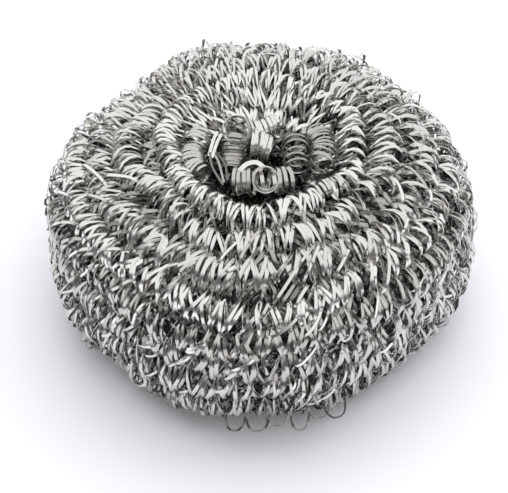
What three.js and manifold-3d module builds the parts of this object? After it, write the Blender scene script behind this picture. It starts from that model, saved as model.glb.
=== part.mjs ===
// A steel pot scrubber: one sleeve of flat steel ribbon, knitted in the round, turned in on itself and drawn
// together at the middle, where the ribbon's end lies in a nest of loose curls.
// Millimetres, +Z up, origin on the table under the middle. -Y is the front.
import * as THREE from "three";
import { ParametricGeometry } from "three/addons/geometries/ParametricGeometry.js";
import { mergeVertices } from "three/addons/utils/BufferGeometryUtils.js";
import Module from "manifold-3d";

// Outer form of the sleeve
const diameter = 87; // across the crest of the widest course, at its bulges
const height = 43.5; // table to the crest of the top course
const widestHeight = 23.5; // table to the crest of the widest course
const topFullness = 2.8; // exponent of the upper superellipse: 2 is a plain ellipse
const lowerFullness = 4.2; // the lower half has sagged fuller
const sag = 1.8; // how far the underside is pressed flat by its own weight
const bulges = 4; // round the sleeve, where it has slumped outwards
const outOfRound = 2; // how far the sides draw in between two bulges

// Courses and stitches of the knitting
const coursePitch = 7; // along the skin, from one course to the next
const courseDepth = 4.2; // crest to groove
const crestWidth = 2.2; // rounded back of a course, along the skin
const wales = 52; // stitches in one course
const stitchDepth = 2.6; // legs of a stitch above the gap between two stitches
const stitchLean = 1.6; // how far a stitch leans across its course, along the widest course

// Hollow of the middle on top, and the pucker under it
const nestDiameter = 30; // across the rim, where the first course begins
const rimDepth = 2.4; // groove round the rim, between the top course and the nest's own
const nestWallSlope = 6; // how far the wall leans in, from the rim to the edge of the floor
const nestWallDrop = 2.2; // crest of the top course to the crest of the nest's own course, halfway down the wall
const nestDepth = 6.5; // crest of the top course to the middle of the floor
const nestBowl = 2; // how far the floor rises from its middle to its edge
const puckerDiameter = 16;
const puckerDepth = 3;

// Curls of the ribbon's end
const curlDiameter = 5;
const curlWall = 0.9; // of the turns round a curl's open mouth
const curlMouthDepth = 2.5;
const curlTurn = 2.6; // along the curl, from one group of turns to the next
const curlGroove = 0.45; // between two groups of turns
const curlSides = 7;
const curlFrames = 64; // directions worked out along one curl

// Each curl from its closed end to its open mouth: across and back as shares of the nest's radius, up from the
// nest's floor as shares of a curl's diameter. The first two lie along the wall of the nest.
const curlPlaces = [
  [[-0.77, 0.18, 0.76], [-0.83, 0, 0.75], [-0.87, -0.2, 0.73], [-0.85, -0.43, 0.72], [-0.74, -0.57, 0.7]],
  [[0.74, 0.24, 0.74], [0.81, 0.02, 0.75], [0.82, -0.18, 0.75], [0.76, -0.36, 0.73]],
  [[-0.37, -0.32, 0.34], [-0.35, -0.14, 0.7], [-0.32, 0.03, 1.05], [-0.3, 0.09, 1.32], [-0.29, 0, 1.6]],
  [[-0.12, -0.12, 1.2], [0.01, -0.11, 1.24], [0.16, -0.1, 1.26]],
  [[0.45, 0.04, 0.94], [0.45, -0.2, 0.95], [0.46, -0.48, 0.88]],
  [[0.37, -0.68, 0.8], [0.22, -0.71, 0.86], [-0.1, -0.71, 0.86], [-0.33, -0.68, 0.8]],
  [[0.08, -0.6, 0.3], [0.08, -0.83, 1.29]],
  [[-0.2, 0.1, 1.08], [0, 0.13, 1.15], [0.23, 0.2, 1.23]],
];

const steel = new THREE.MeshStandardMaterial({ color: 0xb9b8b2, metalness: 1, roughness: 0.28 });

const wasm = await Module();
wasm.setup();

// A closed geometry as a solid, with shared corners merged and faces without area dropped.
function solidOf(geometry) {
  geometry.deleteAttribute("normal");
  geometry.deleteAttribute("uv");
  const merged = mergeVertices(geometry, 1e-4);
  const corners = merged.index.array;
  const kept = [];
  for (let i = 0; i < corners.length; i += 3) {
    const [a, b, c] = corners.slice(i, i + 3);
    if (a !== b && b !== c && c !== a) kept.push(a, b, c);
  }
  return new wasm.Manifold(
    new wasm.Mesh({
      numProp: 3,
      vertProperties: merged.attributes.position.array,
      triVerts: new Uint32Array(kept),
    }),
  );
}

// A solid's triangles as a three.js geometry.
function geometryOf(solid) {
  const mesh = solid.getMesh();
  const geometry = new THREE.BufferGeometry();
  geometry.setAttribute("position", new THREE.BufferAttribute(mesh.vertProperties, 3));
  geometry.setIndex(new THREE.BufferAttribute(mesh.triVerts, 1));
  geometry.computeVertexNormals();
  return geometry;
}

// The skin's section from the rim of the nest, round the widest course, to the edge of the pucker: two
// superellipse quarters, in radius and height.
class Meridian extends THREE.Curve {
  constructor() {
    super();
    this.reach = diameter / 2;
    const topCrest = (nestDiameter + coursePitch) / 2;
    const topShare = (1 - (topCrest / this.reach) ** topFullness) ** (1 / topFullness);
    this.rise = (height - widestHeight) / topShare;
    this.drop = widestHeight + sag;
    this.start = Math.asin((nestDiameter / diameter) ** (topFullness / 2));
    this.end = Math.PI - Math.asin((puckerDiameter / diameter) ** (lowerFullness / 2));
  }

  // Share of the curve's own parameter at which it is widest.
  get widest() {
    return (Math.PI / 2 - this.start) / (this.end - this.start);
  }

  getPoint(t, target = new THREE.Vector2()) {
    const angle = THREE.MathUtils.lerp(this.start, this.end, t);
    const upper = angle < Math.PI / 2;
    const power = 2 / (upper ? topFullness : lowerFullness);
    const radius = this.reach * Math.sin(angle) ** power;
    const climb = Math.abs(Math.cos(angle)) ** power;
    return target.set(radius, widestHeight + (upper ? this.rise : -this.drop) * climb);
  }
}

const meridian = new Meridian();
meridian.arcLengthDivisions = 2000;

// Arc lengths at which courses begin and end: one crest lies on the widest line, and the pitch is fitted to a
// whole number of courses above and below it.
function courseEdges() {
  const lengths = meridian.getLengths();
  const whole = meridian.getLength();
  const widest = lengths[Math.round(meridian.widest * (lengths.length - 1))];
  const above = Math.max(1, Math.round(widest / coursePitch - 0.5));
  const below = Math.max(1, Math.round((whole - widest) / coursePitch - 0.5));
  const pitchAbove = widest / (above + 0.5);
  const pitchBelow = (whole - widest) / (below + 0.5);
  const edges = [];
  for (let i = 0; i <= above; i++) edges.push(i * pitchAbove);
  for (let i = below; i >= 0; i--) edges.push(whole - i * pitchBelow);
  return edges.map((edge) => edge / whole);
}

// One ring of the skin: a place on the meridian, sunk along its normal.
function ringAt(share, sunk, stitch, turn) {
  const { x: radius, y: z } = meridian.getPointAt(share);
  const along = meridian.getTangentAt(share);
  const out = new THREE.Vector2(-along.y, along.x);
  return { radius: radius - sunk * out.x, z: z - sunk * out.y, out, stitch, turn };
}

// Rings of vertices from the pucker underneath, up the skin, to the floor of the nest.
function sleeveRings() {
  const edges = courseEdges();
  const back = crestWidth / 2 / meridian.getLength();
  const lean = stitchLean / ((Math.PI * diameter) / (2 * wales)) / 2;
  const rings = [];
  for (let i = 0; i < edges.length - 1; i++) {
    const way = i % 2 ? lean : -lean;
    const middle = (edges[i] + edges[i + 1]) / 2;
    rings.push(ringAt(edges[i], i ? courseDepth : rimDepth, 0, -way));
    rings.push(ringAt(middle - back, 0, stitchDepth, -way / 2));
    rings.push(ringAt(middle + back, 0, stitchDepth, way / 2));
  }
  const rim = rings[0];
  const hem = ringAt(1, courseDepth, 0, rings.at(-1).turn * 2);
  const level = new THREE.Vector2(0, 1);
  const flat = (radius, z, turn) => ({ radius, z, out: level, stitch: 0, turn });
  const floor = height - nestDepth;
  const floorRadius = nestDiameter / 2 - nestWallSlope;
  // The nest's own course, on its wall: its stitches are half as deep.
  const wall = {
    radius: nestDiameter / 2 - nestWallSlope / 2,
    z: height - nestWallDrop,
    out: new THREE.Vector2(nestBowl + nestWallDrop - nestDepth, nestWallSlope).normalize(),
    stitch: stitchDepth / 2,
    turn: 0,
  };
  return [
    flat(0, puckerDepth, hem.turn),
    hem,
    ...rings.reverse(),
    wall,
    flat(floorRadius, floor + nestBowl, -rim.turn),
    flat(floorRadius / 2, floor, -rim.turn),
    flat(0, floor, -rim.turn),
  ];
}

// The sleeve's skin as a grid: two columns a stitch, one on its legs and one in the gap.
function sleeveSolid() {
  const rings = sleeveRings();
  const columns = 2 * wales;
  const skin = (u, v, target) => {
    const ring = rings[Math.round(v * (rings.length - 1))];
    const column = Math.round(u * columns);
    const sunk = column % 2 ? ring.stitch : 0;
    const angle = ((column + ring.turn) / columns) * 2 * Math.PI;
    const drawnIn = (outOfRound / diameter) * (1 - Math.cos(bulges * angle));
    const radius = (ring.radius - sunk * ring.out.x) * (1 - drawnIn);
    const z = ring.z > 0 ? ring.z - sunk * ring.out.y : 0;
    target.set(radius * Math.cos(angle), radius * Math.sin(angle), z);
  };
  return solidOf(new ParametricGeometry(skin, columns, rings.length - 1));
}

// Places and radii of one curl from its closed end to its open mouth.
function curlProfile(length) {
  const turns = Math.max(1, Math.round(length / curlTurn));
  const outer = curlDiameter / 2;
  const profile = [[0, 0]];
  for (let i = 0; i < turns; i++) {
    profile.push([(i / turns) * length, outer - curlGroove]);
    profile.push([((i + 0.5) / turns) * length, outer]);
  }
  const bore = outer - curlWall;
  const bottom = length - curlMouthDepth;
  return [...profile, [length, outer - curlGroove], [length, bore], [bottom, bore], [bottom, 0]];
}

// A curl of ribbon along a route, as a ribbed tube with an open mouth at the route's end.
function curlSolid(route) {
  const length = route.getLength();
  const profile = curlProfile(length);
  const frames = route.computeFrenetFrames(curlFrames, false);
  const tube = (u, v, target) => {
    const [place, radius] = profile[Math.round(v * (profile.length - 1))];
    const frame = Math.round((place / length) * curlFrames);
    const angle = u * 2 * Math.PI;
    route.getPointAt(place / length, target);
    target.addScaledVector(frames.normals[frame], radius * Math.cos(angle));
    target.addScaledVector(frames.binormals[frame], radius * Math.sin(angle));
  };
  return solidOf(new ParametricGeometry(tube, curlSides, profile.length - 1));
}

// Routes of the curls' middles.
function curlRoutes() {
  const floor = height - nestDepth;
  const nestRadius = nestDiameter / 2;
  const placed = ([across, back, up]) =>
    new THREE.Vector3(across * nestRadius, back * nestRadius, floor + up * curlDiameter);
  return curlPlaces.map((points) => new THREE.CatmullRomCurve3(points.map(placed)));
}

const sleeve = curlRoutes().reduce((body, route) => body.add(curlSolid(route)), sleeveSolid());

const scrubber = new THREE.Group();
const knitted = new THREE.Mesh(geometryOf(sleeve), steel);
knitted.name = "knitted_sleeve";
scrubber.add(knitted);

export default scrubber;
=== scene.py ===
# Steel pot scrubber: knitted ribbon, its nest of curls, floor, light and camera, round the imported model.
import math
import bpy
import numpy as np
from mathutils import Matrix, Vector


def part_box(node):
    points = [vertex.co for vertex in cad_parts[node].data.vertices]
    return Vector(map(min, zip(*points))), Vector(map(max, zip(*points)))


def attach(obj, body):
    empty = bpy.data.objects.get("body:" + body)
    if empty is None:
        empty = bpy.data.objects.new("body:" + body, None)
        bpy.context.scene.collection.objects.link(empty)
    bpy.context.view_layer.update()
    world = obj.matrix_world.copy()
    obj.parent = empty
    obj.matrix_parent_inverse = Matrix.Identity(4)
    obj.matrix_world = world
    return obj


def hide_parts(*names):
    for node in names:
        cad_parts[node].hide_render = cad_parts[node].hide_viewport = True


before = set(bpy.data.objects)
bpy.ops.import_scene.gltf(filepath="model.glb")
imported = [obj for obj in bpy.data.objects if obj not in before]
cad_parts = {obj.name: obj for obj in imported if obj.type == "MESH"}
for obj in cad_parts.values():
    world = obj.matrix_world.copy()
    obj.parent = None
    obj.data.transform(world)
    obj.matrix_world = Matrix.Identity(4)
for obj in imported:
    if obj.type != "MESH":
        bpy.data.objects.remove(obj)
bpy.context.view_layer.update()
mm = 0.001
fullTurn = 2 * math.pi

# Form of the sleeve, the same section as the solid it replaces.
sleeve = {
    "node": "knitted_sleeve",
    "height": 43.5 * mm,          # table to the crest of the top course
    "widestHeight": 23.5 * mm,    # table to the widest course
    "topFullness": 2.8,           # superellipse exponents of the upper and the lower half
    "lowerFullness": 4.2,
    "sag": 1.8 * mm,              # pressed flat underneath
    "bulges": 4,
    "outOfRound": 2 * mm,         # drawn in between the bulges
    "slump": [                    # other lobes: how many, and their cosine and sine as shares of the radius
        (2, -0.012, 0.007),
        (3, 0.001, -0.010),
        (5, 0, -0.006),
    ],
    "nestDiameter": 30 * mm,
    "nestDepth": 6.5 * mm,
    "nestBowl": 0.6,              # exponent of its wall: 1 is a plain cone
    "puckerDiameter": 16 * mm,
    "puckerDepth": 3 * mm,
    "throat": 0.5 * mm,           # radius at which the knitting is drawn together
    "coursePitch": 7 * mm,
    "dent": 2.2 * mm,             # drawn in low at the front
    "dentTurn": -84,              # degrees from +X
    "dentSpread": 20,             # degrees
    "dentFrom": 44 * mm,          # down the skin
    "dentTo": 53 * mm,
    "lumps": 0.45 * mm,           # slow unevenness of the whole skin
    "lumpCount": 14,              # waves that it is made of
    "lumpsRound": (2, 9),         # fewest waves round the skin, and one more than the most
    "lumpLength": 18 * mm,        # shortest wave down the skin
    "samples": 4000,              # points of the section between the nest and the pucker
    "endSamples": 400,            # the same in each of these two, with the point they share
    "seed": 11,
}


# Vectors at a length of 1.
def unit(vectors):
    return vectors / np.linalg.norm(vectors, axis=-1, keepdims=True)


# Section of the sleeve as arc length from the nest's rim, radius, height and outward normal.
# The nest is a bowl and the pucker a quarter ellipse. Between them radius = reach * sin(a)^(2/p), and
# height = widest + rise * cos(a)^(2/p) above the widest course, or widest - drop * |cos(a)|^(2/p) below it.
def sleeveSection(form):
    low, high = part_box(form["node"])
    reach = (high.x - low.x) / 2
    topCrest = (form["nestDiameter"] + form["coursePitch"]) / 2
    topShare = (1 - (topCrest / reach) ** form["topFullness"]) ** (1 / form["topFullness"])
    rise = (form["height"] - form["widestHeight"]) / topShare
    drop = form["widestHeight"] + form["sag"]
    start = math.asin((form["nestDiameter"] / 2 / reach) ** (form["topFullness"] / 2))
    end = math.pi - math.asin((form["puckerDiameter"] / 2 / reach) ** (form["lowerFullness"] / 2))
    angle = np.linspace(start, end, form["samples"])
    upper = angle < math.pi / 2
    power = np.where(upper, 2 / form["topFullness"], 2 / form["lowerFullness"])
    radius = reach * np.sin(angle) ** power
    height = form["widestHeight"] + np.where(upper, rise, -drop) * np.abs(np.cos(angle)) ** power
    quarter = np.linspace(0, math.pi / 2, form["endSamples"])[:-1]
    nestRadius = form["throat"] + (radius[0] - form["throat"]) * np.sin(quarter)
    nestHeight = height[0] - form["nestDepth"] * (1 - np.sin(quarter)) ** form["nestBowl"]
    puckerRadius = form["throat"] + (radius[-1] - form["throat"]) * np.sin(quarter[::-1])
    puckerHeight = height[-1] + form["puckerDepth"] * np.cos(quarter[::-1])
    r = np.concatenate([nestRadius, radius, puckerRadius])
    z = np.concatenate([nestHeight, height, puckerHeight])
    s = np.concatenate([[0], np.cumsum(np.hypot(np.diff(r), np.diff(z)))])
    along = unit(np.stack([np.gradient(r, s), np.gradient(z, s)], -1))
    rim = s[len(quarter)]
    return {
        "s": s - rim,
        "r": r,
        "z": z,
        "outR": -along[:, 1],
        "outZ": along[:, 0],
        "reach": reach,
        "widest": s[np.argmax(r)] - rim,
        "hem": s[len(quarter) + len(radius) - 1] - rim,
    }


section = sleeveSection(sleeve)


# Waves that the slow lumps of the skin are made of.
def lumpWaves(form):
    rng = np.random.default_rng(form["seed"])
    count = form["lumpCount"]
    return {
        "round": rng.integers(*form["lumpsRound"], count),
        "down": rng.uniform(-1, 1, count) * fullTurn / form["lumpLength"],
        "phase": rng.uniform(0, fullTurn, count),
        "size": form["lumps"] * rng.normal(0, 1, count) / math.sqrt(count / 2),
    }


lumpy = lumpWaves(sleeve)


# Lumps at a place on the skin: the sum of size * cos(m * theta + k * s + phase).
def lumps(s, theta):
    total = np.zeros(np.broadcast(s, theta).shape)
    for m, k, phase, size in zip(lumpy["round"], lumpy["down"], lumpy["phase"], lumpy["size"]):
        total += size * np.cos(m * theta + k * s + phase)
    return total


# Place and outward normal on the skin: s down the section, theta round it, lift along the normal.
# The skin's radius is r * (1 + lobes) - dent, where the slump's lobes grow with the square of r.
def onSkin(s, theta, lift):
    r = np.interp(s, section["s"], section["r"])
    lobes = sleeve["outOfRound"] / (2 * section["reach"]) * (np.cos(sleeve["bulges"] * theta) - 1)
    for m, a, b in sleeve["slump"]:
        lobes = lobes + (a * np.cos(m * theta) + b * np.sin(m * theta)) * (r / section["reach"]) ** 2
    outR = np.interp(s, section["s"], section["outR"])
    outZ = np.interp(s, section["s"], section["outZ"])
    low = np.clip((s - sleeve["dentFrom"]) / (sleeve["dentTo"] - sleeve["dentFrom"]), 0, 1)
    aside = (theta - math.radians(sleeve["dentTurn"]) + math.pi) % fullTurn - math.pi
    dent = sleeve["dent"] * low * np.exp(-(aside / math.radians(sleeve["dentSpread"])) ** 2)
    radius = r * (1 + lobes) - dent + lift * outR
    height = np.interp(s, section["s"], section["z"]) + lift * outZ
    place = np.stack([radius * np.cos(theta), radius * np.sin(theta), height], -1)
    normal = np.stack([outR * np.cos(theta), outR * np.sin(theta), outZ], -1)
    return place, unit(normal)


# Section of every ribbon.
ribbonSection = {
    "corners": [(-1, -1), (1, -1), (1, 1), (-1, 1)],  # across the ribbon and off its path, in half sizes
    "across": [0, 0.45, 0.55, 1],  # places of the corners across the UV map
    "tableGap": 0.02 * mm,        # no corner lies lower
}
cornerCount = len(ribbonSection["corners"])


# Flat ribbon carried along each path: path + a * side + b * face at the four corners of its section.
# Side lies across the path, face stands off it, and both are turned about the path by twist.
def ribbonSurface(path, face, twist, width, thickness, closed):
    if closed:
        tangent = unit(np.roll(path, -1, 1) - np.roll(path, 1, 1))
    else:
        tangent = unit(np.gradient(path, axis=1))
    side = unit(np.cross(face, tangent))
    face = np.cross(tangent, side)
    cos, sin = np.cos(twist)[..., None], np.sin(twist)[..., None]
    side, face = side * cos + face * sin, face * cos - side * sin
    half = np.broadcast_to(width, path.shape[:2])[..., None] / 2
    corners = [path + a * half * side + b * thickness / 2 * face for a, b in ribbonSection["corners"]]
    count, steps = path.shape[:2]
    ring = np.arange(count * steps).reshape(count, steps) * cornerCount
    here = ring if closed else ring[:, :-1]
    there = np.roll(ring, -1, 1) if closed else ring[:, 1:]
    walls = []
    for i in range(cornerCount):
        j = (i + 1) % cornerCount
        walls.append(np.stack([here + i, here + j, there + j, there + i], -1))
    quads = np.stack(walls, 2).reshape(-1, 4)
    if not closed:  # a cap at either end
        first = ring[:, 0, None] + np.array([3, 2, 1, 0])
        last = ring[:, -1, None] + np.array([0, 1, 2, 3])
        quads = np.concatenate([quads, first, last])
    stretch = np.linalg.norm(np.diff(path, axis=1), axis=-1)
    along = np.concatenate([np.zeros((count, 1)), np.cumsum(stretch, 1)], 1)
    return {
        "verts": np.stack(corners, 2).reshape(-1, 3),
        "quads": quads,
        "along": np.repeat(along.ravel(), cornerCount),
    }


# New object in the scene.
def addObject(name, data):
    added = bpy.data.objects.new(name, data)
    bpy.context.scene.collection.objects.link(added)
    return added


# Joins ribbons into one object with a UV map (across, along) and a tone for each ribbon: its own shade, which
# varies at random, and on the inner, lower and nest pieces and the hanging loops also painted shade.
def ribbonObject(name, parts, tonesAndShades, material):
    offset = np.cumsum([0] + [len(part["verts"]) for part in parts[:-1]])
    verts = np.concatenate([part["verts"] for part in parts])
    verts[:, 2] = np.maximum(verts[:, 2], ribbonSection["tableGap"])
    quads = np.concatenate([part["quads"] + start for part, start in zip(parts, offset)])
    along = np.concatenate([part["along"] for part in parts])
    toneAndShade = np.concatenate(tonesAndShades)
    mesh = bpy.data.meshes.new(name)
    mesh.vertices.add(len(verts))
    mesh.vertices.foreach_set("co", verts.astype(np.float32).ravel())
    mesh.loops.add(quads.size)
    mesh.loops.foreach_set("vertex_index", quads.astype(np.int32).ravel())
    mesh.polygons.add(len(quads))
    mesh.polygons.foreach_set("loop_start", np.arange(0, quads.size, 4, dtype=np.int32))
    mesh.polygons.foreach_set("use_smooth", np.ones(len(quads), bool))
    mesh.update(calc_edges=True)
    # Edges along a ribbon are sharp, those across it smooth.
    ends = np.zeros(len(mesh.edges) * 2, np.int32)
    mesh.edges.foreach_get("vertices", ends)
    ends = ends.reshape(-1, 2) // cornerCount
    sharp = mesh.attributes.new("sharp_edge", "BOOLEAN", "EDGE")
    sharp.data.foreach_set("value", ends[:, 0] != ends[:, 1])
    across = np.array(ribbonSection["across"])[quads % cornerCount]
    uv = np.stack([across, along[quads] / mm], -1)
    mesh.uv_layers.new(name="ribbon").data.foreach_set("uv", uv.astype(np.float32).ravel())
    # This tone attribute is partly each ribbon's own random shade and partly painted shade.
    shade = mesh.attributes.new("toneAndShade", "FLOAT", "POINT")
    shade.data.foreach_set("value", toneAndShade.astype(np.float32))
    mesh.materials.append(material)
    piece = addObject(name, mesh)
    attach(piece, "root")
    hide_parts(sleeve["node"])
    print(name, "triangles", len(quads) * 2)


# New material, with its nodes and its shader.
def newMaterial(name):
    material = bpy.data.materials.new(name)
    material.use_nodes = True
    tree = material.node_tree
    return material, tree, tree.nodes["Principled BSDF"]


# One of the mesh's own values.
def meshValue(tree, name):
    node = tree.nodes.new("ShaderNodeAttribute")
    node.attribute_name = name
    return node.outputs["Fac"]


# Colour from a value, through three stops.
def colourRamp(tree, value, stops):
    node = tree.nodes.new("ShaderNodeValToRGB")
    elements = node.color_ramp.elements
    elements.new(0.5)
    for element, (place, colour) in zip(elements, stops):
        element.position = place
        element.color = colour
    tree.links.new(value, node.inputs["Fac"])
    return node.outputs["Color"]


# Value carried over from one range to another.
def mapRange(tree, value, before, after):
    node = tree.nodes.new("ShaderNodeMapRange")
    node.inputs["From Min"].default_value = before[0]
    node.inputs["From Max"].default_value = before[1]
    node.inputs["To Min"].default_value = after[0]
    node.inputs["To Max"].default_value = after[1]
    tree.links.new(value, node.inputs["Value"])
    return node.outputs["Result"]


# One value from two.
def mathNode(tree, operation, first, second):
    node = tree.nodes.new("ShaderNodeMath")
    node.operation = operation
    tree.links.new(first, node.inputs[0])
    tree.links.new(second, node.inputs[1])
    return node.outputs[0]


# Bright drawn steel: metal whose colour follows each ribbon's tone, its own shade varying from ribbon to
# ribbon and, on the darker pieces, painted shade, with fine lines in its gloss and bump.
ribbonSteel = {
    "stops": [                    # tone, colour
        # The darkest stop is reached only by the painted shade of the darker pieces.
        (0.0, (0.09, 0.087, 0.078, 1)),
        (0.3, (0.42, 0.41, 0.38, 1)),
        (1.0, (0.90, 0.89, 0.86, 1)),
    ],
    "roughness": (0.14, 0.30),    # least and most
    "lineScale": (9.0, 0.35, 1),  # across the ribbon, and along it for each millimetre
    "lineDetail": 3,
    "lineRange": (0.3, 0.7),      # of the noise, where the lines lie
    "lineBump": 0.12,
    "lineDepth": 0.02 * mm,
}


def steelMaterial(finish):
    material, tree, shader = newMaterial("drawn_steel")
    shader.inputs["Metallic"].default_value = 1
    colour = colourRamp(tree, meshValue(tree, "toneAndShade"), finish["stops"])
    tree.links.new(colour, shader.inputs["Base Color"])
    uv = tree.nodes.new("ShaderNodeUVMap")
    uv.uv_map = "ribbon"
    stretch = tree.nodes.new("ShaderNodeMapping")
    stretch.inputs["Scale"].default_value = finish["lineScale"]
    tree.links.new(uv.outputs["UV"], stretch.inputs["Vector"])
    lines = tree.nodes.new("ShaderNodeTexNoise")
    lines.inputs["Scale"].default_value = 1
    lines.inputs["Detail"].default_value = finish["lineDetail"]
    tree.links.new(stretch.outputs["Vector"], lines.inputs["Vector"])
    gloss = mapRange(tree, lines.outputs["Fac"], finish["lineRange"], finish["roughness"])
    tree.links.new(gloss, shader.inputs["Roughness"])
    bump = tree.nodes.new("ShaderNodeBump")
    bump.inputs["Strength"].default_value = finish["lineBump"]
    bump.inputs["Distance"].default_value = finish["lineDepth"]
    tree.links.new(lines.outputs["Fac"], bump.inputs["Height"])
    tree.links.new(bump.outputs["Normal"], shader.inputs["Normal"])
    return material


steel = steelMaterial(ribbonSteel)


# Knitting: each course is a ring of loops, and a few ribbons run together in it. A loop has two legs, with
# a head at the upper and at the lower edge of the course.
knit = {
    "fewestLoops": 5,             # in one course
    "point": 0.08,                # how far a loop's head is drawn to a point
    "gather": 0.06,               # how far the two legs of a loop draw together, in loops
    "veeSpread": 0.15,            # unevenness of how far they lean apart, in loops
    "beside": 0.27,               # from one ribbon to the next, in loops
    "layer": 0.6 * mm,            # how much farther in each next ribbon of a course lies
    "ribbonThickness": 0.1 * mm,
    "widths": (0.85, 1.15),       # least and most, as shares of the piece's own width
    "taper": 0.85,                # share of its width that a ribbon loses towards the heads
    "shared": 0.10,               # unevenness of a leg's place, all ribbons together, in loops
    "sideways": 0.06,             # the same for each ribbon by itself
    "lean": 0.14,                 # unevenness of a leg's lean, in loops
    "slant": 0.08,                # how far the legs of one course all lean one way, in loops
    "heads": 0.13,                # unevenness of loop heights, as a share
    "lift": 0.26 * mm,            # unevenness of a leg's height off the skin
    "own": 0.4,                   # share of lean, heads, lift and twist that each ribbon strays by itself
    "proud": 0.06,                # share of legs that stand well proud
    "proudLift": 0.5 * mm,
    "proudMost": 1 * mm,
    "twist": 0.3,                 # unevenness of a leg's turn about its own length, radians
    "clump": 0.22,                # the same for a few legs together
    "clumpLoops": 2,              # that turn together
    "fewestClumps": 3,
    "tip": 0.7,                   # turn towards the heads, where a ribbon stands on edge, radians
    "tipSpread": 0.4,
    "kink": 0.15,                 # unevenness of the turn within a leg, radians
    "kinks": 6,                   # in one loop
    "swing": 0.55 * mm,           # how far a course strays from a true circle
    "swingWaves": range(2, 8),    # waves round the course in which it strays
    "floorGap": 0.15 * mm,        # table to the middle of a course's first ribbon, at least
    "floorStep": 0.25 * mm,       # more for each next ribbon
}


# Random values round a course, eased from each to the next by part^2 * (3 - 2 * part).
def eased(values, place):
    low = np.floor(place).astype(int)
    part = place - low
    part = part * part * (3 - 2 * part)
    return values[low % len(values)] * (1 - part) + values[(low + 1) % len(values)] * part


# One course of loops, as closed ribbons. With t a turn for each loop, and
# share = -(cos(t) + point * cos(3 t)) / (1 + point), which is -1 and 1 at the heads:
# along = place + (gather + vee * share) * sin(t) + lean * share, in loops,
# down = reach * pitch * share, lift = -depth * share^2.
# Legs and heads stray by eased random values.
def courseRibbons(rng, middle, pitch, piece):
    radius = np.interp(middle, section["s"], section["r"])
    loops = max(knit["fewestLoops"], round(math.pi * radius / piece["legPitch"]))
    mess = piece["mess"]
    u = np.arange(loops * piece["steps"]) / piece["steps"]
    t = fullTurn * u
    turn = fullTurn * u / loops

    # One random value for each leg or for each head, two of them in a loop, and waves round the whole course.
    def legs(spread):
        return eased(rng.normal(0, spread, 2 * loops), 2 * u - 0.5)

    def heads(spread):
        return eased(rng.normal(0, spread, 2 * loops), 2 * u)

    def wave(size):
        count = np.array(knit["swingWaves"])[:, None]
        phase = rng.uniform(0, fullTurn, count.shape)
        return size * np.cos(count * turn + phase).sum(0) / math.sqrt(len(count) / 2)

    start = rng.uniform(0, 1)
    centre = middle + wave(knit["swing"] * mess)
    slant = knit["slant"] * rng.choice([-1, 1]) + wave(knit["slant"] / 2)
    vee = piece["vee"] + legs(knit["veeSpread"])
    shared = legs(knit["shared"] * mess)
    sharedHeads = heads(knit["heads"] * mess)
    sharedLean = slant + legs(knit["lean"] * mess)
    sharedLift = legs(knit["lift"] * mess)
    sharedTwist = legs(knit["twist"] * mess)
    clumps = max(knit["fewestClumps"], loops // knit["clumpLoops"])
    sharedTwist += eased(rng.normal(0, knit["clump"], clumps), u * clumps / loops)
    own = knit["own"] * mess
    paths, faces, twists, widths = [], [], [], []
    for k in range(piece["strands"]):
        share = -(np.cos(t) + knit["point"] * np.cos(3 * t)) / (1 + knit["point"])
        share *= 1 + sharedHeads + heads(knit["heads"] * own)
        along = u + start + k * knit["beside"] + (knit["gather"] + vee * share) * np.sin(t)
        along += shared + legs(knit["sideways"] * mess) + (sharedLean + legs(knit["lean"] * own)) * share
        proud = np.minimum(rng.exponential(knit["proudLift"], 2 * loops), knit["proudMost"])
        proud *= rng.uniform(0, 1, 2 * loops) < knit["proud"] * mess
        crest = np.maximum(1 - share ** 2, 0)
        s = centre + piece["reach"] * pitch * share
        theta = fullTurn / loops * along
        lift = -piece["depth"] * share ** 2 - k * knit["layer"] + sharedLift + legs(knit["lift"] * own)
        lift += eased(proud, 2 * u - 0.5) * crest + lumps(s, theta) - piece["sink"]
        lift -= piece["frontSink"] * (0.5 - 0.5 * np.sin(theta))
        place, normal = onSkin(s, theta, lift)
        place[:, 2] = np.maximum(place[:, 2], knit["floorGap"] + k * knit["floorStep"])
        paths.append(place)
        faces.append(normal)
        onEdge = knit["tip"] * rng.choice([-1, 1]) + heads(knit["tipSpread"])
        kinks = eased(rng.normal(0, knit["kink"], knit["kinks"] * loops), knit["kinks"] * u)
        twists.append(sharedTwist + legs(knit["twist"] * own) + onEdge * share ** 2 + kinks)
        narrowed = 1 - knit["taper"] * np.minimum(share ** 2, 1)
        widths.append(piece["ribbon"] * rng.uniform(*knit["widths"]) * narrowed)
    paths, faces, twists, widths = [np.array(rows) for rows in (paths, faces, twists, widths)]
    part = ribbonSurface(paths, faces, twists, widths, knit["ribbonThickness"], True)
    toneAndShade = np.clip(rng.normal(piece["toneAndShade"], piece["toneSpread"], piece["strands"]), 0, 1)
    return part, np.repeat(toneAndShade, len(u) * cornerCount)


# Crests of the courses down the skin: one on the widest line, the pitch fitted above and below it.
def courseCrests():
    pitch = sleeve["coursePitch"]
    above = round(section["widest"] / pitch - 0.5)
    below = round((section["hem"] - section["widest"]) / pitch - 0.5)
    pitchAbove = section["widest"] / (above + 0.5)
    pitchBelow = (section["hem"] - section["widest"]) / (below + 0.5)
    crests = [(section["widest"] - i * pitchAbove, pitchAbove) for i in range(above, 0, -1)]
    crests += [(section["widest"] + i * pitchBelow, pitchBelow) for i in range(below + 1)]
    return crests


# Courses as their middle, down the skin from the rim of the nest, and their pitch.
crests = courseCrests()
grooves = [(middle + pitch / 2, pitch) for middle, pitch in crests[:-1]]
rimCourse = [(4.6 * mm, 7 * mm)]
nestCourses = [(-2.2 * mm, 4 * mm), (-5.6 * mm, 4 * mm), (-9 * mm, 4 * mm)]
middleCourses = [(-12 * mm, 4 * mm), (-14.6 * mm, 4 * mm)]
puckerCourses = [(section["hem"] + 2 * mm, 4 * mm), (section["hem"] + 5 * mm, 4 * mm)]
print("courses", len(crests))

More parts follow.
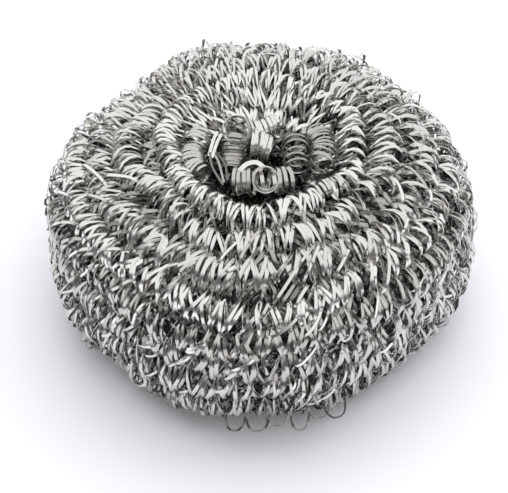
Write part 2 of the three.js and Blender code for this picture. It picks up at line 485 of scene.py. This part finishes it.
# Pieces of the knitting: which courses they hold, and in what they differ from the outer ones.
outer = {
    "legPitch": 1.6 * mm,         # from one leg of the loops to the next, round the course
    "reach": 0.6,                 # middle of the course to a loop's head, as a share of the pitch
    "vee": 0.12,                  # how far the two legs of a loop lean apart, in loops
    "strands": 2,                 # ribbons in one course
    "ribbon": 0.72 * mm,          # width
    "mess": 1,                    # times the unevenness of the knitting
    "depth": 2.6 * mm,            # crest to groove
    "sink": 0,                    # whole course farther in
    "frontSink": 0,               # the same at the front, fading to none at the back
    "steps": 14,                  # along one loop
    # Tone of the outer courses; the lower tones of the pieces below are painted shade.
    "toneAndShade": 0.96,
    "toneSpread": 0.15,
}
knitPieces = {
    "knit_nest": {
        **outer, "courses": nestCourses[:2], "legPitch": 1.35 * mm, "ribbon": 0.58 * mm, "mess": 0.8,
        "depth": 1.1 * mm, "frontSink": 4.6 * mm, "seed": 20},
    # The nest's floor, lining and middle have low tones: painted shade deep in the nest.
    "knit_floor": {
        **outer, "courses": nestCourses[2:], "legPitch": 1.1 * mm, "depth": 1.4 * mm, "toneAndShade": 0.12,
        "seed": 28},
    "knit_lining": {
        **outer, "courses": nestCourses, "vee": 0.4, "strands": 3, "depth": 0.6 * mm, "sink": 1.6 * mm,
        "frontSink": 2.5 * mm, "steps": 8, "toneAndShade": 0.18, "seed": 31},
    "knit_middle": {
        **outer, "courses": middleCourses, "legPitch": 1.2 * mm, "strands": 4, "mess": 1.4, "depth": 1 * mm,
        "toneAndShade": 0.05, "seed": 29},
    # The pucker underneath has a lower tone: painted shade.
    "knit_pucker": {
        **outer, "courses": puckerCourses, "legPitch": 1.1 * mm, "strands": 3, "mess": 1.2, "depth": 1.2 * mm,
        "toneAndShade": 0.5, "seed": 30},
    "knit_rim": {
        **outer, "courses": rimCourse, "legPitch": 1.25 * mm, "reach": 0.43, "vee": 0.08, "ribbon": 0.62 * mm,
        "mess": 1.2, "depth": 2.5 * mm, "seed": 36},
    "knit_top": {
        **outer, "courses": crests[1:2], "legPitch": 1.4 * mm, "reach": 0.48, "vee": 0.15,
        "ribbon": 0.66 * mm, "mess": 1.2, "depth": 2.5 * mm, "seed": 21},
    "knit_shoulder": {
        **outer, "courses": crests[2:4], "reach": 0.56, "vee": 0.18, "mess": 1.5, "depth": 2.5 * mm,
        "seed": 22},
    # The side and base courses have lower tones, darker towards the bottom: painted shade.
    "knit_side": {
        **outer, "courses": crests[4:9], "reach": 0.66, "vee": 0.2, "mess": 1.3, "toneAndShade": 0.58, "seed": 23},
    "knit_base": {
        **outer, "courses": crests[9:], "legPitch": 1.8 * mm, "vee": 0.26, "strands": 3, "steps": 12,
        "toneAndShade": 0.42, "seed": 24},
    # The inside and core layers under the courses have low tones: painted shade of the deep knitting.
    "knit_inside": {
        **outer, "courses": grooves, "legPitch": 2.1 * mm, "vee": 0.5, "strands": 3, "mess": 1.4,
        "sink": 2.1 * mm, "steps": 8, "toneAndShade": 0.3, "seed": 25},
    "knit_core": {
        **outer, "courses": crests, "legPitch": 2.4 * mm, "vee": 0.5, "strands": 3, "mess": 1.4,
        "depth": 1.6 * mm, "sink": 3.2 * mm, "steps": 8, "toneAndShade": 0.26, "seed": 27},
}
for name, piece in knitPieces.items():
    rng = np.random.default_rng(piece["seed"])
    made = [courseRibbons(rng, middle, pitch, piece) for middle, pitch in piece["courses"]]
    parts, tonesAndShades = zip(*made)
    ribbonObject(name, parts, tonesAndShades, steel)

# Curls of the ribbon's end in the nest. Their points are across and back as shares of the nest's radius,
# and up from the nest's floor as shares of a curl.
curls = {
    "floor": 37 * mm,             # of the nest, above the table
    "up": 5 * mm,                 # height of a curl
    "steps": 22,                  # along one turn
    "loose": 0.06,                # unevenness of a turn's radius, as a share
    "twist": 0.28,                # unevenness of a turn's own twist, radians
    "sway": 0.14 * mm,            # unevenness of a turn's place
    "clump": 0.06,                # how far groups of turns swell, as a share
    "clumpTurns": 4.5,            # in one group
    "ribbonThickness": 0.12 * mm,
    # Tones below this plain one, on curls and strands down in the nest, are painted shade.
    "toneAndShade": 0.82,                 # of a curl that gives none
    "toneSpread": 0.1,
    "strandFace": (0, -0.4, 1),   # the straight ends face up and to the front
    "strandSteps": 40,
    "strandTone": 0.95,
    "seed": 41,
}
# Curls with a lower tone than the plain one are darkened as painted shade.
looseCurls = [
    # along the left and the right wall
    {"diameter": 5.1 * mm, "pitch": 0.9 * mm, "width": 0.6 * mm, "toneAndShade": 0.6, "points": [
        [-0.74, -0.57, 0.7], [-0.85, -0.43, 0.72], [-0.87, -0.2, 0.73], [-0.83, 0, 0.75],
        [-0.77, 0.18, 0.76]]},
    {"diameter": 5.3 * mm, "pitch": 0.8 * mm, "width": 0.5 * mm, "toneAndShade": 0.6, "points": [
        [0.74, 0.24, 0.74], [0.81, 0.02, 0.75], [0.82, -0.18, 0.75], [0.76, -0.36, 0.73]]},
    # standing up left of the middle, lying across it, and from back to front right of it
    {"diameter": 4.8 * mm, "pitch": 0.6 * mm, "width": 0.5 * mm, "toneAndShade": 0.45, "points": [
        [-0.37, -0.32, 0.34], [-0.35, -0.14, 0.7], [-0.32, 0.03, 1.05], [-0.3, 0.09, 1.32],
        [-0.29, 0, 1.6]]},
    {"diameter": 5.3 * mm, "pitch": 0.88 * mm, "width": 0.72 * mm, "points": [
        [-0.12, -0.12, 1.22], [0.01, -0.13, 1.16], [0.16, -0.16, 1.02]]},
    {"diameter": 5.2 * mm, "pitch": 1.6 * mm, "width": 0.44 * mm, "toneAndShade": 0.4, "points": [
        [0.45, 0.04, 0.94], [0.45, -0.2, 0.95], [0.46, -0.48, 0.88]]},
    # across the front, in three lengths from left to right, slack in the middle
    {"diameter": 5.3 * mm, "pitch": 0.85 * mm, "width": 0.72 * mm, "toneAndShade": 0.65, "points": [
        [-0.33, -0.68, 0.8], [-0.22, -0.7, 0.84], [-0.1, -0.71, 0.86]]},
    {"diameter": 4.8 * mm, "pitch": 2.3 * mm, "width": 0.75 * mm, "points": [
        [-0.08, -0.71, 0.82], [0.08, -0.71, 0.82], [0.21, -0.71, 0.82]]},
    {"diameter": 5.2 * mm, "pitch": 0.9 * mm, "width": 0.72 * mm, "toneAndShade": 0.65, "points": [
        [0.22, -0.71, 0.86], [0.3, -0.7, 0.84], [0.37, -0.68, 0.8]]},
    # behind the middle, and a small one on the first course at the front
    {"diameter": 3.8 * mm, "pitch": 0.85 * mm, "width": 0.66 * mm, "points": [
        [-0.2, 0.14, 1.06], [0, 0.18, 1.13], [0.23, 0.25, 1.22]]},
    {"diameter": 3.4 * mm, "pitch": 0.7 * mm, "width": 0.56 * mm, "toneAndShade": 0.7, "points": [
        [0.7, -0.96, 1], [0.85, -0.88, 1.07], [0.98, -0.8, 1.02]]},
]
# Last turns of two curls, close together round their open mouths.
openMouths = [
    {"diameter": 4.9 * mm, "pitch": 0.3 * mm, "width": 0.42 * mm, "twist": 0.5, "points": [
        [-0.29, 0.01, 1.57], [-0.288, -0.05, 1.72]]},
    {"diameter": 4.5 * mm, "pitch": 0.3 * mm, "width": 0.42 * mm, "twist": 0.5, "points": [
        [0.077, -0.77, 1.12], [0.077, -0.83, 1.29]]},
]
# An end of ribbon over the front curls, and five left of the standing curl that lead to the front.
nestStrands = [
    {"width": 0.9 * mm, "points": [
        [-0.26, -0.69, 1.32], [-0.16, -0.59, 1.4], [-0.04, -0.56, 1.4], [0.06, -0.63, 1.32]]},
    {"width": 0.6 * mm, "points": [
        [-0.55, 0.06, 1.32], [-0.6, -0.12, 1.3], [-0.65, -0.3, 1]]},
    {"width": 0.6 * mm, "points": [
        [-0.49, 0.02, 1.32], [-0.55, -0.16, 1.3], [-0.61, -0.33, 1]]},
    # The three narrow strands leading down to the front are dark: painted shade.
    {"width": 0.4 * mm, "toneAndShade": 0.15, "points": [
        [-0.64, -0.26, 1.1], [-0.6, -0.5, 1], [-0.46, -0.76, 0.8]]},
    {"width": 0.4 * mm, "toneAndShade": 0.4, "points": [
        [-0.6, -0.24, 1.05], [-0.52, -0.44, 1.05], [-0.45, -0.72, 0.8]]},
    {"width": 0.4 * mm, "toneAndShade": 0.1, "points": [
        [-0.57, -0.2, 1], [-0.44, -0.46, 1.02], [-0.41, -0.68, 0.8]]},
]


# Shares of the nest as places in metres.
def inNest(points):
    across = sleeve["nestDiameter"] / 2
    return np.array(points) * [across, across, curls["up"]] + [0, 0, curls["floor"]]


# Smooth curve through given points: a Catmull-Rom spline, resampled evenly along its length.
def smoothRoute(points, count=400, dense=2000):
    points = np.array(points, float)
    ends = np.concatenate([[2 * points[0] - points[1]], points, [2 * points[-1] - points[-2]]])
    place = np.linspace(0, len(points) - 1, dense)
    i = np.minimum(place.astype(int), len(points) - 2)
    f = (place - i)[:, None]
    a, b, c, d = ends[i], ends[i + 1], ends[i + 2], ends[i + 3]
    square = 2 * a - 5 * b + 4 * c - d
    cube = 3 * b - a - 3 * c + d
    curve = 0.5 * (2 * b + (c - a) * f + square * f ** 2 + cube * f ** 3)
    gone = np.concatenate([[0], np.cumsum(np.linalg.norm(np.diff(curve, axis=0), axis=1))])
    even = np.linspace(0, gone[-1], count)
    return np.stack([np.interp(even, gone, curve[:, k]) for k in range(3)], -1), gone[-1]


# Curl of ribbon: middle + radius * (cos(phase) * first + sin(phase) * second) along the route.
# The radius swells in groups of turns, and the radius and a turn's middle sway a little from turn to turn.
def curlRibbon(rng, curl):
    route, length = smoothRoute(inNest(curl["points"]))
    turns = length / curl["pitch"]
    count = int(turns * curls["steps"])
    v = np.linspace(0, 1, count)
    middle = np.stack([np.interp(v, np.linspace(0, 1, len(route)), route[:, k]) for k in range(3)], -1)
    tangent = unit(np.gradient(middle, axis=0))
    across = np.linalg.svd(route - route.mean(0))[2][2]  # the way in which the route bends least
    first = unit(across - (tangent @ across)[:, None] * tangent)
    second = np.cross(tangent, first)
    knots = np.arange(int(turns) + 2)

    def perTurn(spread):
        return np.interp(v * turns, knots, rng.normal(0, spread, len(knots)))

    clump = curls["clump"] * np.sin(fullTurn * v * turns / curls["clumpTurns"] + rng.uniform(0, fullTurn))
    radius = curl["diameter"] / 2 * (1 + clump + perTurn(curls["loose"]))
    phase = fullTurn * v * turns + rng.uniform(0, fullTurn)
    radial = np.cos(phase)[:, None] * first + np.sin(phase)[:, None] * second
    sway = perTurn(curls["sway"])[:, None] * first + perTurn(curls["sway"])[:, None] * second
    path = middle + radius[:, None] * radial + sway + perTurn(curls["sway"])[:, None] * tangent
    twist = perTurn(curls["twist"]) + curl.get("twist", 0)
    thickness = curls["ribbonThickness"]
    part = ribbonSurface(path[None], radial[None], twist[None], curl["width"], thickness, False)
    toneAndShade = np.clip(rng.normal(curl.get("toneAndShade", curls["toneAndShade"]), curls["toneSpread"]), 0, 1)
    return part, np.full(count * cornerCount, toneAndShade)


# Straight end of ribbon that lies over the curls.
def nestStrand(strand):
    route = smoothRoute(inNest(strand["points"]), curls["strandSteps"])[0]
    face = np.tile(unit(np.array(curls["strandFace"])), (1, len(route), 1))
    twist = np.zeros((1, len(route)))
    part = ribbonSurface(route[None], face, twist, strand["width"], curls["ribbonThickness"], False)
    return part, np.full(len(route) * cornerCount, strand.get("toneAndShade", curls["strandTone"]))


rng = np.random.default_rng(curls["seed"])
made = [curlRibbon(rng, curl) for curl in looseCurls + openMouths]
made += [nestStrand(strand) for strand in nestStrands]
parts, tonesAndShades = zip(*made)
ribbonObject("nest_curls", parts, tonesAndShades, steel)

# Loose single ribbons that lie aslant over the courses, with their ends tucked in.
strays = {
    "count": 230,
    "from": 12 * mm,              # down the skin, from the rim of the nest
    "to": 60 * mm,
    "shortest": 4 * mm,
    "longest": 11 * mm,
    "heading": -0.8,              # radians, rising to the right seen from outside
    "headingSpread": 0.25,
    "bow": 0.35 * mm,             # sideways bend
    "rise": 0.1 * mm,             # above the crests at the middle
    "riseSpread": 0.25 * mm,
    "tuck": 2.8 * mm,             # how far the ends go in
    "twist": 0.35,                # unevenness of a whole ribbon's turn, radians
    "twistAlong": 0.3,            # the same from its middle to its end
    "floorGap": 0.3 * mm,
    "width": 0.55 * mm,
    "thickness": 0.1 * mm,
    "steps": 14,
    "toneAndShade": 0.9,
    "toneSpread": 0.15,
    "seed": 51,
}


# One ribbon in a row, v from -1 to 1 along it: s and theta run straight along its heading, bent by bow * v^2,
# lift = rise - tuck * v^4.
def strayRibbons(spec):
    rng = np.random.default_rng(spec["seed"])
    count = spec["count"]
    v = np.linspace(-1, 1, spec["steps"])[None]

    def each(values):
        return values[:, None]

    length = each(rng.uniform(spec["shortest"], spec["longest"], count)) / 2
    heading = each(rng.normal(spec["heading"], spec["headingSpread"], count))
    bow = each(rng.normal(0, spec["bow"], count)) * v ** 2
    down = length * v * np.sin(heading) + bow * np.cos(heading)
    along = length * v * np.cos(heading) - bow * np.sin(heading)
    s = each(rng.uniform(spec["from"], spec["to"], count)) + down
    theta = each(rng.uniform(0, fullTurn, count)) + along / np.interp(s, section["s"], section["r"])
    rise = each(rng.normal(spec["rise"], spec["riseSpread"], count))
    lift = rise - spec["tuck"] * v ** 4 + lumps(s, theta)
    path, normal = onSkin(s, theta, lift)
    path[..., 2] = np.maximum(path[..., 2], spec["floorGap"])
    twist = each(rng.normal(0, spec["twist"], count)) + each(rng.normal(0, spec["twistAlong"], count)) * v
    part = ribbonSurface(path, normal, twist, spec["width"], spec["thickness"], False)
    toneAndShade = np.clip(rng.normal(spec["toneAndShade"], spec["toneSpread"], count), 0, 1)
    return part, np.repeat(toneAndShade, spec["steps"] * cornerCount)


part, toneAndShade = strayRibbons(strays)
ribbonObject("loose_ribbons", [part], [toneAndShade], steel)

# Slack loops that hang from the lowest course in sight.
hanging = {
    "count": 16,                  # small ones, anywhere round the sleeve
    "front": [-95.6, -90.3, -85, -79.5, -74.7, -70.3],  # a close row of large ones, degrees from +X
    "small": 0.5,                 # size of a small one, as a share of a large one's
    "from": 51 * mm,              # down the skin
    "width": 3.9 * mm,
    "widths": (0.85, 1.15),       # least and most, as shares
    "drop": 3.5 * mm,
    "drops": (0.8, 1.1),          # the same
    "fullness": 0.6,              # exponent of the drop: 1 is half an ellipse, less is squarer
    "stand": 1.8 * mm,            # how far the large ones stand off the skin
    "standMore": 1.12 * mm,       # at most this much more, the small ones too
    "tuck": 1.2 * mm,             # how far the ends go in
    "lean": 0.12,                 # unevenness to the side, as a share of the drop
    "out": 0.12,                  # slope outwards, as a share of the drop
    "outSpread": 0.2,
    "twist": 0.5,                 # unevenness, radians
    "floorGap": 0.3 * mm,
    "ribbon": 0.42 * mm,
    "thickness": 0.1 * mm,
    "steps": 16,
    # Low tone: painted shade, the loops darkened as if mirroring the shadowed floor.
    "toneAndShade": 0.12,
    "toneSpread": 0.08,
    "seed": 61,
}


# One loop in a row, v from 0 to a half turn: along = -width / 2 * cos(v), down = drop * sin(v)^fullness, and
# tuck * cos(v)^4 inwards.
def hangingLoops(spec):
    rng = np.random.default_rng(spec["seed"])
    turn = np.concatenate([rng.uniform(0, fullTurn, spec["count"]), np.radians(spec["front"])])[:, None]
    large = np.concatenate([np.zeros(spec["count"]), np.ones(len(spec["front"]))])[:, None]
    size = np.where(large, 1, spec["small"])
    each = turn.shape
    v = np.linspace(0, math.pi, spec["steps"])[None]
    stand = spec["stand"] * large + rng.uniform(0, spec["standMore"], each)
    width = size * spec["width"] * rng.uniform(*spec["widths"], each)
    drop = size * spec["drop"] * rng.uniform(*spec["drops"], each)
    place, normal = onSkin(np.full(each, spec["from"]), turn, stand)
    side = np.stack([-np.sin(turn), np.cos(turn), np.zeros_like(turn)], -1)
    lean = rng.normal(0, spec["lean"], each)[..., None]
    out = rng.normal(spec["out"], spec["outSpread"], each)[..., None]
    down = unit(np.array([0, 0, -1.0]) + lean * side + out * normal)
    along = (width * np.cos(v) / 2)[..., None]
    fall = (drop * np.sin(v) ** spec["fullness"])[..., None]
    path = place - along * side + fall * down
    path -= (spec["tuck"] * np.cos(v) ** 4)[..., None] * normal
    path[..., 2] = np.maximum(path[..., 2], spec["floorGap"])
    face = np.broadcast_to(normal, path.shape)
    twist = np.repeat(rng.normal(0, spec["twist"], each), spec["steps"], 1)
    part = ribbonSurface(path, face, twist, spec["ribbon"], spec["thickness"], False)
    toneAndShade = np.clip(rng.normal(spec["toneAndShade"], spec["toneSpread"], len(turn)), 0, 1)
    return part, np.repeat(toneAndShade, spec["steps"] * cornerCount)


part, toneAndShade = hangingLoops(hanging)
ribbonObject("hanging_loops", [part], [toneAndShade], steel)

# Pale floor, a large soft lamp nearly overhead, and a dark surround that the steel mirrors.
# Lengths are in metres.
studio = {
    "floorSize": 4.0,
    "floorColour": (0.93, 0.925, 0.985, 1),
    "floorRoughness": 0.9,
    "glowFrom": (0.06, 1.0),      # distances from the middle, near and far
    "glow": (0.045, 0.78),        # lifts the floor to white where it is seen, near and far
    "ambient": 0.28,              # light from all round on matt surfaces
    "lampWide": 1.0,
    "lampDeep": 1.0,
    "lampPlace": (0.05, 0.06, 0.72),
    "lampPower": 7.4,
    "surroundRadius": 0.9,
    "surroundTurn": -0.25,        # of its highest place, radians to the right of the front
    "surroundNarrow": 4,          # exponent: more is narrower
    "surroundLow": 0.1,           # height at the back
    "surroundFront": 0.62,        # how much higher it is at the front
    "surroundGap": 1 * mm,        # between the floor and its foot
    "surroundGrid": (64, 9),      # points round it and up it
    "apron": 0.78,                # how far it comes in over the floor at the front
    "surroundStops": [            # share of its height, grey
        (0.0, 0.14),
        (0.45, 0.14),
        (1.0, 1.0),
    ],
}


# 1 for the rays that show the background: from the camera, from metal and through glass.
def backdropRay(tree):
    seen = tree.nodes.new("ShaderNodeLightPath")
    sharpRay = mathNode(tree, "MAXIMUM", seen.outputs["Is Camera Ray"], seen.outputs["Is Glossy Ray"])
    return mathNode(tree, "MAXIMUM", sharpRay, seen.outputs["Is Transmission Ray"])


def paleFloor():
    half = studio["floorSize"] / 2
    mesh = bpy.data.meshes.new("floor")
    corners = [(-half, -half, 0), (half, -half, 0), (half, half, 0), (-half, half, 0)]
    mesh.from_pydata(corners, [], [(0, 1, 2, 3)])
    material, tree, shader = newMaterial("pale_floor")
    shader.inputs["Base Color"].default_value = studio["floorColour"]
    shader.inputs["Roughness"].default_value = studio["floorRoughness"]
    shader.inputs["Emission Color"].default_value = (1, 1, 1, 1)
    place = tree.nodes.new("ShaderNodeTexCoord")
    distance = tree.nodes.new("ShaderNodeVectorMath")
    distance.operation = "LENGTH"
    tree.links.new(place.outputs["Object"], distance.inputs[0])
    level = mapRange(tree, distance.outputs["Value"], studio["glowFrom"], studio["glow"])
    glow = mathNode(tree, "MULTIPLY", backdropRay(tree), level)
    tree.links.new(glow, shader.inputs["Emission Strength"])
    mesh.materials.append(material)
    floor = addObject("floor", mesh)


# Lamp aimed at the middle of the floor, and a world that is white where it is seen.
def softLight():
    lamp = bpy.data.lights.new("softbox", "AREA")
    lamp.shape = "RECTANGLE"
    lamp.size = studio["lampWide"]
    lamp.size_y = studio["lampDeep"]
    lamp.energy = studio["lampPower"]
    lampObject = addObject("softbox", lamp)
    lampObject.location = studio["lampPlace"]
    lampObject.rotation_euler = Vector(studio["lampPlace"]).to_track_quat("Z", "Y").to_euler()
    lampObject.visible_glossy = False
    world = bpy.data.worlds.new("studio")
    bpy.context.scene.world = world
    world.use_nodes = True
    tree = world.node_tree
    strength = mapRange(tree, backdropRay(tree), (0, 1), (studio["ambient"], 1))
    background = tree.nodes["Background"]
    background.inputs["Color"].default_value = (1, 1, 1, 1)
    tree.links.new(strength, background.inputs["Strength"])


# Open wall round the scrubber and an apron on the floor before it, seen only in reflections, dark below and
# fading to white at its upper edge. With share = cos((u - turn) / 2)^narrow, u from the front:
# height = low + front * share, and the apron's inner edge lies at radius - apron * share.
def darkSurround():
    columns, rows = studio["surroundGrid"]
    angle = np.linspace(-math.pi, math.pi, columns + 1)[:-1]
    u, v = np.meshgrid(angle, np.linspace(0, 1, rows), indexing="ij")
    share = np.cos((u - studio["surroundTurn"]) / 2) ** studio["surroundNarrow"]
    height = v * (studio["surroundLow"] + studio["surroundFront"] * share)
    height[:, :2] = studio["surroundGap"]
    radius = np.full(u.shape, studio["surroundRadius"])
    radius[:, 0] -= studio["apron"] * share[:, 0]
    verts = np.stack([radius * np.sin(u), -radius * np.cos(u), height], -1)
    here = np.arange(columns * rows).reshape(columns, rows)
    there = np.roll(here, -1, 0)
    quads = np.stack([here[:, :-1], here[:, 1:], there[:, 1:], there[:, :-1]], -1).reshape(-1, 4)
    mesh = bpy.data.meshes.new("surround")
    mesh.from_pydata(verts.reshape(-1, 3).tolist(), [], quads.tolist())
    mesh.attributes.new("level", "FLOAT", "POINT").data.foreach_set("value", v.astype(np.float32).ravel())
    material, tree, shader = newMaterial("dark_card")
    shader.inputs["Base Color"].default_value = (0, 0, 0, 1)
    shader.inputs["Roughness"].default_value = 1
    shader.inputs["Emission Strength"].default_value = 1
    greys = [(place, (grey, grey, grey, 1)) for place, grey in studio["surroundStops"]]
    fade = colourRamp(tree, meshValue(tree, "level"), greys)
    tree.links.new(fade, shader.inputs["Emission Color"])
    mesh.materials.append(material)
    wall = addObject("surround", mesh)
    wall.visible_camera = False
    wall.visible_diffuse = False
    wall.visible_shadow = False


paleFloor()
softLight()
darkSurround()
print("floor, light and surround set")

# Camera at the photograph's viewing angle, aimed a little below the middle of the widest course.
view = {
    "elevation": 44.5,            # degrees
    "distance": 260 * mm,
    "lens": 90,                   # millimetres of focal length
    "aimAcross": -1.1 * mm,       # in the picture's own plane
    "aimUp": -7.7 * mm,
    "clipStart": 10 * mm,
}


def makeCamera():
    raised = math.radians(view["elevation"])
    back = np.array([0, -math.cos(raised), math.sin(raised)])
    up = np.array([0, math.sin(raised), math.cos(raised)])
    middle = np.array([0, 0, sleeve["widestHeight"]])
    place = middle + view["distance"] * back
    aim = middle + view["aimAcross"] * np.array([1, 0, 0]) + view["aimUp"] * up
    data = bpy.data.cameras.new("camera")
    data.lens = view["lens"]
    data.clip_start = view["clipStart"]
    camera = addObject("camera", data)
    camera.location = place
    camera.rotation_euler = Vector(aim - place).to_track_quat("-Z", "Y").to_euler()
    bpy.context.scene.camera = camera


makeCamera()
print("camera set")
bpy.context.scene.view_settings.view_transform = "Standard"
